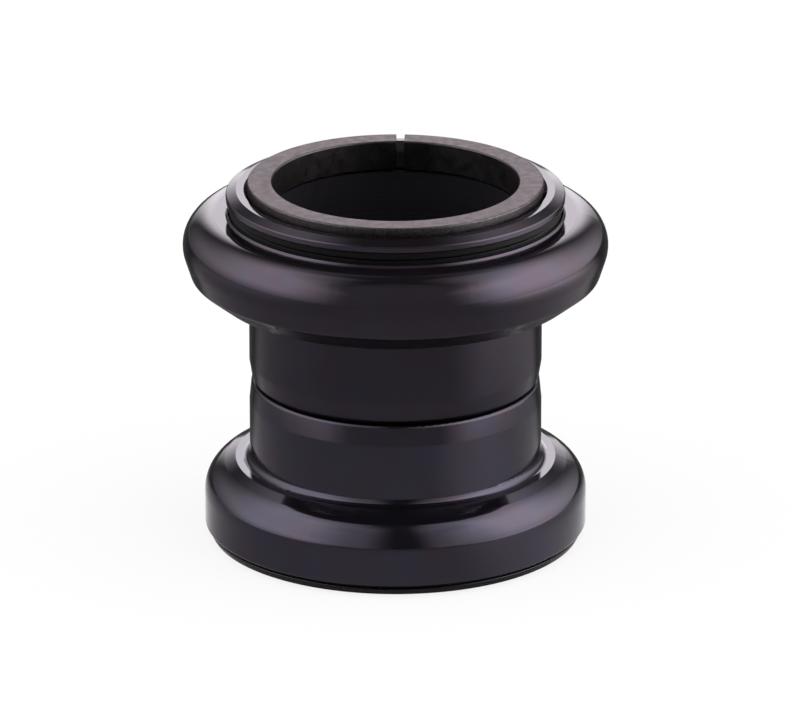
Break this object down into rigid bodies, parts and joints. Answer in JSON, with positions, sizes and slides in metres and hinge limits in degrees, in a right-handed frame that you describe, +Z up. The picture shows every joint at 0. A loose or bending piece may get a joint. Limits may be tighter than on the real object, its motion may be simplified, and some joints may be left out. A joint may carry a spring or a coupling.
{
  "type": "bicycle headset",
  "caption": "Threadless bicycle headset with external black cups, caged ball bearings, crown race, cover and split compression ring, the upper half stood on the lower.",
  "frame": {"origin": "on the steering axis, at the crown race's underside", "axes": "+Z up along the steering axis, +Y away from the viewer, towards the ring's slot"},
  "size_m": [0.0494, 0.0494, 0.0433],
  "materials": {
    "gloss_black": "black anodised, polished",
    "matte_grey": "blasted, dark anodised",
    "seal_rubber": "moulded, satin",
    "black_steel": "black oxide, satin",
    "race_steel": "ground and hardened",
    "cage_steel": "stamped, zinc plated",
    "ball_steel": "polished"
  },
  "bodies": {
    "cups": {"upper_cup": "gloss_black", "upper_cup_race": "race_steel", "lower_cup": "gloss_black", "lower_cup_race": "race_steel"},
    "top_cone": {"compression_ring": "matte_grey", "top_cover": "gloss_black", "top_seal": "seal_rubber", "top_cone_race": "race_steel"},
    "upper_cage": {"upper_ball_cage": "cage_steel", "upper_ball_01": "ball_steel", "upper_ball_02": "ball_steel", "upper_ball_03": "ball_steel", "upper_ball_04": "ball_steel", "upper_ball_05": "ball_steel", "upper_ball_06": "ball_steel", "upper_ball_07": "ball_steel", "upper_ball_08": "ball_steel", "upper_ball_09": "ball_steel", "upper_ball_10": "ball_steel", "upper_ball_11": "ball_steel", "upper_ball_12": "ball_steel", "upper_ball_13": "ball_steel", "upper_ball_14": "ball_steel", "upper_ball_15": "ball_steel", "upper_ball_16": "ball_steel", "upper_ball_17": "ball_steel", "upper_ball_18": "ball_steel", "upper_ball_19": "ball_steel", "upper_ball_20": "ball_steel"},
    "crown_cone": {"crown_race": "black_steel", "lower_seal": "seal_rubber"},
    "lower_cage": {"lower_ball_cage": "cage_steel", "lower_ball_01": "ball_steel", "lower_ball_02": "ball_steel", "lower_ball_03": "ball_steel", "lower_ball_04": "ball_steel", "lower_ball_05": "ball_steel", "lower_ball_06": "ball_steel", "lower_ball_07": "ball_steel", "lower_ball_08": "ball_steel", "lower_ball_09": "ball_steel", "lower_ball_10": "ball_steel", "lower_ball_11": "ball_steel", "lower_ball_12": "ball_steel", "lower_ball_13": "ball_steel", "lower_ball_14": "ball_steel", "lower_ball_15": "ball_steel", "lower_ball_16": "ball_steel", "lower_ball_17": "ball_steel", "lower_ball_18": "ball_steel", "lower_ball_19": "ball_steel", "lower_ball_20": "ball_steel"}
  },
  "joints": [
    {"name": "top_turn", "type": "hinge", "parent": "cups", "child": "top_cone", "pos_m": [0, 0, 0.0361], "axis": [0, 0, 1], "continuous": true},
    {"name": "upper_cage_turn", "type": "hinge", "parent": "cups", "child": "upper_cage", "pos_m": [0, 0, 0.0361], "axis": [0, 0, 1], "continuous": true},
    {"name": "crown_turn", "type": "hinge", "parent": "cups", "child": "crown_cone", "pos_m": [0, 0, 0.0039], "axis": [0, 0, 1], "continuous": true},
    {"name": "lower_cage_turn", "type": "hinge", "parent": "cups", "child": "lower_cage", "pos_m": [0, 0, 0.0039], "axis": [0, 0, 1], "continuous": true}
  ],
  "couplings": [
    {"joint": "upper_cage_turn", "follows": "top_turn", "ratio": 0.45897},
    {"joint": "lower_cage_turn", "follows": "crown_turn", "ratio": 0.46013}
  ]
}
